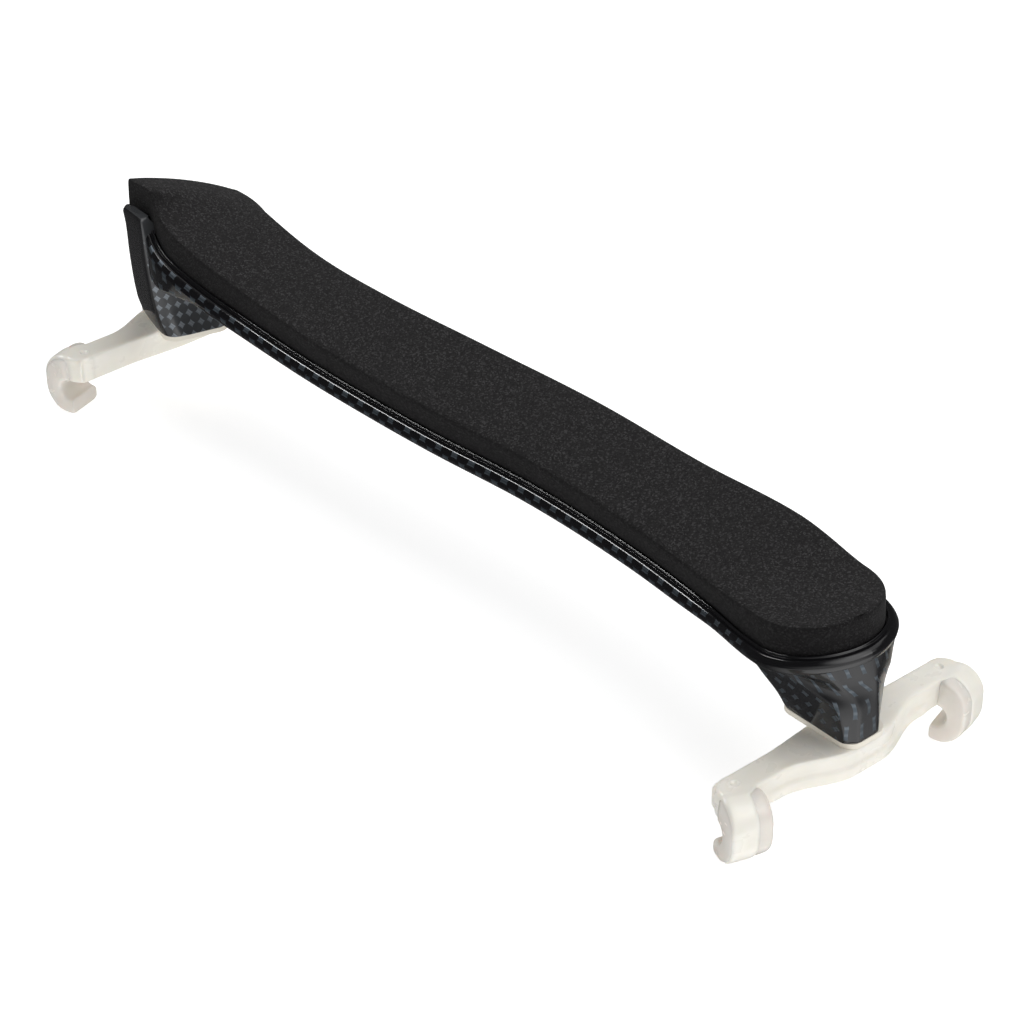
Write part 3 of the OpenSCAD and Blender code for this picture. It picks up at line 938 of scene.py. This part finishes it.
# ---------------------------------------------------------------- materials
class Nodes:
    """Builds one material's node tree. What calc, mapped, blend, place and noise return feeds other nodes."""

    def __init__(self, name):
        self.mat = bpy.data.materials.new(name)
        self.mat.use_nodes = True
        self.tree = self.mat.node_tree
        self.shader = self.tree.nodes["Principled BSDF"]

    def node(self, kind, **inputs):
        n = self.tree.nodes.new(kind)
        for key, value in inputs.items():
            socket = n.inputs[key.replace("_", " ")]
            self.feed(socket, value)
        return n

    def feed(self, socket, value):
        if isinstance(value, bpy.types.NodeSocket):
            self.tree.links.new(value, socket)
        else:
            socket.default_value = value

    def calc(self, op, a, b=0.0):
        n = self.tree.nodes.new("ShaderNodeMath")
        n.operation = op
        self.feed(n.inputs[0], a)
        self.feed(n.inputs[1], b)
        return n.outputs[0]

    def mapped(self, value, lo, hi, to_lo=0.0, to_hi=1.0, smooth=False):
        """Value moved from the range lo to hi into the range to_lo to to_hi."""
        n = self.tree.nodes.new("ShaderNodeMapRange")
        if smooth:
            n.interpolation_type = "SMOOTHSTEP"
        for i, v in enumerate((value, lo, hi, to_lo, to_hi)):
            self.feed(n.inputs[i], v)
        return n.outputs[0]

    def blend(self, t, a, b):
        """Colour a where t is 0, and colour b where it is 1."""
        n = self.tree.nodes.new("ShaderNodeMix")
        n.data_type = "RGBA"
        self.feed(n.inputs[0], t)
        self.feed(n.inputs[6], a if isinstance(a, bpy.types.NodeSocket) else (*a, 1))
        self.feed(n.inputs[7], b if isinstance(b, bpy.types.NodeSocket) else (*b, 1))
        return n.outputs[2]

    def split(self, vector):
        """The three components of a vector or colour."""
        return self.node("ShaderNodeSeparateXYZ", Vector=vector).outputs

    def place(self, scale=(1, 1, 1)):
        """Object-space position in metres, stretched by scale."""
        c = self.tree.nodes.new("ShaderNodeTexCoord").outputs["Object"]
        m = self.tree.nodes.new("ShaderNodeMapping")
        self.feed(m.inputs["Vector"], c)
        m.inputs["Scale"].default_value = scale
        return m.outputs[0]

    def noise(self, size, detail=2.0, scale=(1, 1, 1)):
        """Noise whose features are about size millimetres across."""
        n = self.node("ShaderNodeTexNoise", Vector=self.place(scale), Scale=1 / (size * MM), Detail=detail)
        return n.outputs[0]

    def cells(self, size):
        """Cells about size millimetres across: their outputs Distance and Color."""
        return self.node("ShaderNodeTexVoronoi", Vector=self.place(), Scale=1 / (size * MM)).outputs

    def bump(self, height, depth, strength=1.0):
        """Bump of depth millimetres."""
        n = self.node("ShaderNodeBump", Height=height, Strength=strength, Distance=depth * MM)
        self.feed(self.shader.inputs["Normal"], n.outputs[0])

    def set(self, **inputs):
        """Values and sockets for the shader's inputs, by name."""
        for key, value in inputs.items():
            if isinstance(value, tuple) and len(value) == 3 and "Color" in key:
                value = (*value, 1)
            self.feed(self.shader.inputs[key.replace("_", " ")], value)


# Ground colours of the board, the left leg's outer strip, the right leg and the left leg's facets; the
# strip's and the facets' are lifted above the board's black by painted reflection
BLACK_GLOSS = (0.006, 0.0058, 0.0068)
STRIP_PAINTED_REFLECTION = (0.0135, 0.0133, 0.0145)
LEG_GLOSS = (0.012, 0.0122, 0.0135)
FACET_PAINTED_REFLECTION = (0.045, 0.047, 0.05)
# Dark and light ink of the printed marks
INKS = ((0.04, 0.05, 0.06), (0.1, 0.115, 0.13))
FACET_INKS = ((0.11, 0.122, 0.135), (0.17, 0.185, 0.2))
# Shape of a mark in shares of its cell: half size, soft edge, how far its sides bend in, lines in it, and how
# far it strays along the print
MARK_HALF = 0.37
MARK_EDGE = 0.08
MARK_WAIST = 0.07
LINES_PER_CELL = 3.0
WOBBLE = 0.12
# Below every row that is printed, and above what OFF_PRINT shifts a side to
ALL_ROWS = -1000


def print_material(
    name, cell, row_h, shift=0.0, first_row=ALL_ROWS, fade=None, narrow=1.0,
    base=BLACK_GLOSS, bare=BLACK_GLOSS, inks=INKS,
):
    """Gloss black with a staggered print of small light marks, cell by row_h millimetres apart.
    Rows before first_row are left out, and fade = (axis, from, to) thins the print out along an axis.
    The ground between the marks has the colour base, and bare where nothing is printed."""
    n = Nodes(name)
    uv = n.tree.nodes.new("ShaderNodeUVMap")
    uv.uv_map = "print"
    xy = n.split(uv.outputs[0])
    u = n.calc("ADD", n.calc("DIVIDE", xy[0], cell), n.mapped(n.noise(6.0), 0.3, 0.7, -WOBBLE, WOBBLE))
    v = n.calc("DIVIDE", n.calc("ADD", xy[1], shift), row_h)

    def from_middle(x):
        return n.calc("ABSOLUTE", n.calc("SUBTRACT", n.calc("FRACT", x), 0.5))

    def waist(x):
        return n.calc("MULTIPLY", n.calc("SUBTRACT", 0.25, n.calc("MULTIPLY", x, x)), 4 * MARK_WAIST)

    lu, lv = from_middle(u), from_middle(v)
    du = n.calc("MULTIPLY", n.calc("ADD", lu, waist(lv)), narrow)
    dv = n.calc("ADD", lv, waist(lu))
    shape = n.mapped(n.calc("MAXIMUM", du, dv), MARK_HALF, MARK_HALF + MARK_EDGE, 1.0, 0.0, smooth=True)
    odd = n.calc("MODULO", n.calc("ADD", n.calc("FLOOR", u), n.calc("FLOOR", v)), 2.0)
    mark = n.calc("MULTIPLY", shape, n.calc("LESS_THAN", n.calc("ABSOLUTE", odd), 0.5))
    printed = n.calc("GREATER_THAN", v, first_row)
    mark = n.calc("MULTIPLY", mark, printed)
    if fade is not None:
        axis, start, end = fade
        faded_out = n.mapped(n.split(n.place())[axis], start * MM, end * MM, 1.0, 0.0, smooth=True)
        mark = n.calc("MULTIPLY", mark, faded_out)
    lines = n.calc("SINE", n.calc("MULTIPLY", v, LINES_PER_CELL * 2 * math.pi))
    inked = n.blend(n.mapped(lines, -0.2, 0.9, 0.0, 0.55), *inks)
    grime = n.mapped(n.noise(9.0, 4.0), 0.35, 0.75)
    scratch = n.mapped(n.noise(0.5, 3.0, (0.06, 1, 1)), 0.62, 0.78)
    worn = n.calc("ADD", n.calc("MULTIPLY", grime, 0.05), n.calc("MULTIPLY", scratch, 0.1))
    n.set(
        Base_Color=n.blend(mark, n.blend(printed, bare, base), inked),
        Metallic=n.calc("MULTIPLY", mark, 0.5),
        Roughness=n.calc("ADD", n.mapped(mark, 0, 1, 0.13, 0.36), worn),
        Specular_IOR_Level=0.3,
        IOR=1.45,
    )
    n.bump(n.calc("ADD", n.noise(2.2), n.calc("MULTIPLY", scratch, -0.2)), 0.01)
    return n.mat


FOAM_CELL = 0.3
FOAM_DARK = (0.0075, 0.007, 0.0074)
FOAM_MID = (0.017, 0.0162, 0.0167)
FOAM_LIGHT = (0.045, 0.044, 0.045)
FOAM_WORN = (0.022, 0.0215, 0.022)
# Painted shade on the pad's side walls: the dark colour they are blended towards, and how far
WALL_PAINTED_SHADE = (0.002, 0.0018, 0.002)
WALL_SHADE_SHARE = 0.6


def foam_material():
    """Fine-celled foam: every cell its own shade, and painted shade that makes the walls darker than the top.
    """
    n = Nodes("charcoal_foam")
    cell = n.cells(FOAM_CELL)
    shade_of = n.split(cell["Color"])[0]
    patch = n.noise(16.0, 3.0)
    upwards = n.split(n.tree.nodes.new("ShaderNodeTexCoord").outputs["Normal"])[2]
    top = n.mapped(upwards, 0.78, 0.93, 0.0, 1.0, smooth=True)
    low = n.blend(n.mapped(shade_of, 0.0, 0.7), FOAM_DARK, FOAM_MID)
    tone = n.blend(n.mapped(shade_of, 0.7, 1.0), low, FOAM_LIGHT)
    worn = n.blend(n.mapped(patch, 0.4, 0.8, 0.0, 0.25), tone, FOAM_WORN)
    n.set(
        # Painted shade: faces that are not turned up get the walls' darker colour
        Base_Color=n.blend(top, n.blend(WALL_SHADE_SHARE, worn, WALL_PAINTED_SHADE), worn),
        Roughness=n.mapped(patch, 0.3, 0.7, 0.86, 0.97),
        Specular_IOR_Level=0.12,
        Sheen_Weight=0.015,
        Sheen_Roughness=0.5,
    )
    n.bump(n.calc("ADD", cell["Distance"], shade_of), 0.12, 0.7)
    return n.mat


def moulded_material(name, pale, warm, rough, **shader):
    """A milky moulding: faint cloudiness, flow streaks and fine wear."""
    n = Nodes(name)
    cloud, streak, fine = n.noise(7.0, 3.0), n.noise(2.5, 3.0, (1, 0.25, 1)), n.noise(0.35, 2.0)
    rub = n.mapped(n.noise(1.6, 4.0, (0.2, 1, 1)), 0.66, 0.82)
    tone = n.calc("ADD", n.calc("MULTIPLY", cloud, 0.6), n.calc("MULTIPLY", streak, 0.4))
    ground = n.mapped(tone, 0.3, 0.7, rough, rough + 0.1)
    n.set(
        Base_Color=n.blend(n.mapped(tone, 0.35, 0.65), pale, warm),
        Roughness=n.calc("ADD", ground, n.calc("MULTIPLY", rub, 0.12)),
        **shader,
    )
    n.bump(n.calc("ADD", fine, n.calc("MULTIPLY", rub, -0.3)), 0.01)
    return n.mat


def metal_material(name, bright, dull, rough):
    """Turned metal: fine circular grain, dull patches and small nicks."""
    n = Nodes(name)
    turned = n.noise(0.12, 2.0, (1, 1, 8))
    patch = n.mapped(n.noise(2.0, 4.0), 0.45, 0.7)
    nick = n.mapped(n.cells(0.9)["Distance"], 0.0, 0.12, 1.0, 0.0)
    ground = n.mapped(patch, 0, 1, rough, rough + 0.18)
    n.set(
        Base_Color=n.blend(patch, bright, dull),
        Metallic=1.0,
        Roughness=n.calc("ADD", ground, n.calc("MULTIPLY", turned, 0.1)),
    )
    n.bump(n.calc("ADD", turned, n.calc("MULTIPLY", nick, -0.5)), 0.02)
    return n.mat


def floor_material():
    n = Nodes("studio_floor")
    haze = n.noise(300.0)
    n.set(
        Base_Color=n.blend(haze, (0.76, 0.76, 0.76), (0.78, 0.78, 0.78)),
        Roughness=n.mapped(haze, 0.3, 0.7, 0.85, 0.95),
        Specular_IOR_Level=0.0,
        Emission_Color=(1.0, 1.0, 1.0),
        Emission_Strength=0.58,
    )
    return n.mat


def dress(obj, material):
    """Gives the object this material and no other."""
    obj.data.materials.clear()
    obj.data.materials.append(material)


# ---------------------------------------------------------------- pieces
# Spacing of the print's marks, and where it fades out: axis, from, to
BOARD_CELL = 2.3
BOARD_ROW = 1.6
LEG_CELL = 1.62
LEFT_CELL = 1.15
BOARD_FADE = (0, 82.0, 92.0)
LEFT_FADE = (2, 36.0, 40.0)

board_print = print_material(
    "board_print", BOARD_CELL, BOARD_ROW, shift=0.4, first_row=0.0, fade=BOARD_FADE,
)
# The left leg's ground colours hold painted reflection, which lightens its outer strip and its facets
left_print = print_material(
    "left_leg_print", LEFT_CELL, LEFT_CELL, fade=LEFT_FADE,
    base=FACET_PAINTED_REFLECTION, bare=STRIP_PAINTED_REFLECTION, inks=FACET_INKS,
)
right_print = print_material("right_leg_print", LEG_CELL, LEG_CELL, base=LEG_GLOSS, narrow=1.35)
foam = foam_material()
yoke_plastic = moulded_material(
    "yoke_plastic", (0.865, 0.84, 0.775), (0.80, 0.775, 0.70), 0.24,
    Subsurface_Weight=0.35, Subsurface_Radius=Vector((1.0, 0.8, 0.55)), Subsurface_Scale=0.002,
)
grip_plastic = moulded_material(
    "soft_grip", (0.84, 0.80, 0.745), (0.79, 0.745, 0.685), 0.2,
    Transmission_Weight=0.12, IOR=1.42,
    Subsurface_Weight=0.4, Subsurface_Radius=Vector((1.0, 0.75, 0.6)), Subsurface_Scale=0.0025,
)
plate_plastic = moulded_material("base_plate_plastic", (0.80, 0.76, 0.67), (0.73, 0.68, 0.58), 0.42)
film = moulded_material("adhesive_film", (0.66, 0.64, 0.56), (0.58, 0.56, 0.48), 0.6)
brass = metal_material("brass", (0.80, 0.60, 0.28), (0.55, 0.40, 0.18), 0.24)
steel = metal_material("plated_steel", (0.68, 0.69, 0.70), (0.48, 0.48, 0.49), 0.22)

pad = build_pad()
dress(pad, foam)
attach(pad, "rest")
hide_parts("pad")

board = build_board()
dress(board, board_print)
legs = {"left_leg": build_left_leg(), "right_leg": build_right_leg()}
dress(legs["left_leg"], left_print)
dress(legs["right_leg"], right_print)
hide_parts("board")
for piece in (board, *legs.values()):
    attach(piece, "rest")

mouldings = {
    "right_yoke": build_yoke(),
    "right_near_grip": build_grip(-1),
    "right_far_grip": build_grip(1),
}
for node, piece in list(mouldings.items()):
    mouldings[node.replace("right", "left")] = mirror_x(piece, piece.name.replace("right", "left"))
for node, piece in mouldings.items():
    is_yoke = node.endswith("yoke")
    dress(piece, yoke_plastic if is_yoke else grip_plastic)
    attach(piece, node.split("_")[0] + "_foot")
    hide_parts(node)

# Materials of the CAD nodes that stay, by the ends of their names
FINISHES = {
    "base_plate": plate_plastic, "adhesive": film, "slide_nut": brass, "bush": brass,
    "clamp_screw": steel, "washer": steel, "friction_ring": steel,
}
for node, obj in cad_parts.items():
    for ending, material in FINISHES.items():
        if node.endswith(ending):
            dress(obj, material)

# ---------------------------------------------------------------- floor, lights and camera
FLOOR_SIZE = 6.0
FLOOR_DROP = 0.0002
LIT_POINT = (0.0, 0.0, 0.03)


def build_floor():
    bm = bmesh.new()
    bmesh.ops.create_grid(bm, x_segments=8, y_segments=8, size=FLOOR_SIZE / 2)
    mesh = bpy.data.meshes.new("studio_floor")
    bm.to_mesh(mesh)
    bm.free()
    obj = bpy.data.objects.new("studio_floor", mesh)
    obj.location.z = -FLOOR_DROP
    bpy.context.scene.collection.objects.link(obj)
    obj.visible_glossy = False
    dress(obj, floor_material())


def aim(obj, target):
    """Turns a light or camera to face the target."""
    obj.rotation_euler = (Vector(target) - obj.location).to_track_quat("-Z", "Y").to_euler()


def softbox(name, direction, distance, size, power, along=None, diffuse=True):
    """A rectangular light that faces the object; along sets the direction of its first side.
    Without diffuse it is only seen in reflections."""
    light = bpy.data.lights.new(name, "AREA")
    light.shape = "RECTANGLE"
    light.size, light.size_y = size
    light.energy = power
    obj = bpy.data.objects.new(name, light)
    away = Vector(direction).normalized()
    obj.location = Vector(LIT_POINT) + away * distance
    bpy.context.scene.collection.objects.link(obj)
    obj.visible_diffuse = diffuse
    aim(obj, LIT_POINT)
    if along is not None:
        first = Vector(along)
        first = (first - away * first.dot(away)).normalized()
        obj.rotation_euler = Matrix((first, away.cross(first), away)).transposed().to_euler()


build_floor()
softbox("overhead", (0.0, 0.45, 1.0), 1.3, (1.6, 1.2), 9.5)
softbox("edge_line", (-0.63, -0.32, 0.70), 1.0, (0.42, 0.09), 7.0, along=(0.77, -0.36, 0.52), diffuse=False)
softbox("side_right", (0.82, 0.37, 0.5), 1.1, (0.5, 0.3), 1.2)

# The room is bright for matt surfaces. Reflections see it dark, with a soft glow from each of these sides.
ROOM_LIGHT = 0.55
REFLECTED_DARK = 0.08
GLOWS = (
    # direction, cosine where it starts, strength
    ((0.75, -0.35, -0.56), 0.2, 2.6),
    ((0.68, 0.0, 0.73), 0.75, 4.5),
)
world = bpy.data.worlds.new("studio")
world.use_nodes = True
room = world.node_tree


def room_node(kind, **settings):
    """A new node of the world's tree, with its settings."""
    node = room.nodes.new(kind)
    for key, value in settings.items():
        setattr(node, key, value)
    return node


path = room_node("ShaderNodeLightPath")
view = room_node("ShaderNodeTexCoord").outputs["Generated"]
reflected = None
for direction, start, strength in GLOWS:
    facing = room_node("ShaderNodeVectorMath", operation="DOT_PRODUCT")
    facing.inputs[1].default_value = Vector(direction).normalized()
    room.links.new(view, facing.inputs[0])
    glow = room_node("ShaderNodeMapRange", interpolation_type="SMOOTHSTEP")
    glow.inputs["From Min"].default_value = start
    glow.inputs["From Max"].default_value = 1.0
    glow.inputs["To Max"].default_value = strength
    room.links.new(facing.outputs["Value"], glow.inputs["Value"])
    total = room_node("ShaderNodeMath", operation="ADD")
    total.inputs[1].default_value = REFLECTED_DARK
    room.links.new(glow.outputs[0], total.inputs[0])
    if reflected is not None:
        room.links.new(reflected, total.inputs[1])
    reflected = total.outputs[0]
level = room_node("ShaderNodeMix")
level.inputs["A"].default_value = ROOM_LIGHT
room.links.new(path.outputs["Is Glossy Ray"], level.inputs["Factor"])
room.links.new(reflected, level.inputs["B"])
room.links.new(level.outputs["Result"], room.nodes["Background"].inputs["Strength"])
room.nodes["Background"].inputs["Color"].default_value = (1.0, 1.0, 1.0, 1.0)
bpy.context.scene.world = world
bpy.context.scene.view_settings.view_transform = "Standard"

CAM_AZIMUTH = math.radians(48.75575)
CAM_ELEVATION = math.radians(33.28709)
CAM_DISTANCE = 0.65
CAM_TARGET = (0.01486984, -0.00425379, 0.02)
LENS_MM = 114.0605

camera_data = bpy.data.cameras.new("camera")
camera_data.sensor_width = 36.0
camera_data.lens = LENS_MM
camera_data.clip_start = 0.01
camera_data.clip_end = 20.0
camera = bpy.data.objects.new("camera", camera_data)
bpy.context.scene.collection.objects.link(camera)
camera.location = Vector(CAM_TARGET) + CAM_DISTANCE * Vector((
    math.sin(CAM_AZIMUTH) * math.cos(CAM_ELEVATION),
    -math.cos(CAM_AZIMUTH) * math.cos(CAM_ELEVATION),
    math.sin(CAM_ELEVATION),
))
aim(camera, CAM_TARGET)
bpy.context.scene.camera = camera


# ---------------------------------------------------------------- a box as plain numbers
def plain(box):
    """A box as lists of numbers."""
    return [[float(c) for c in corner] for corner in box]
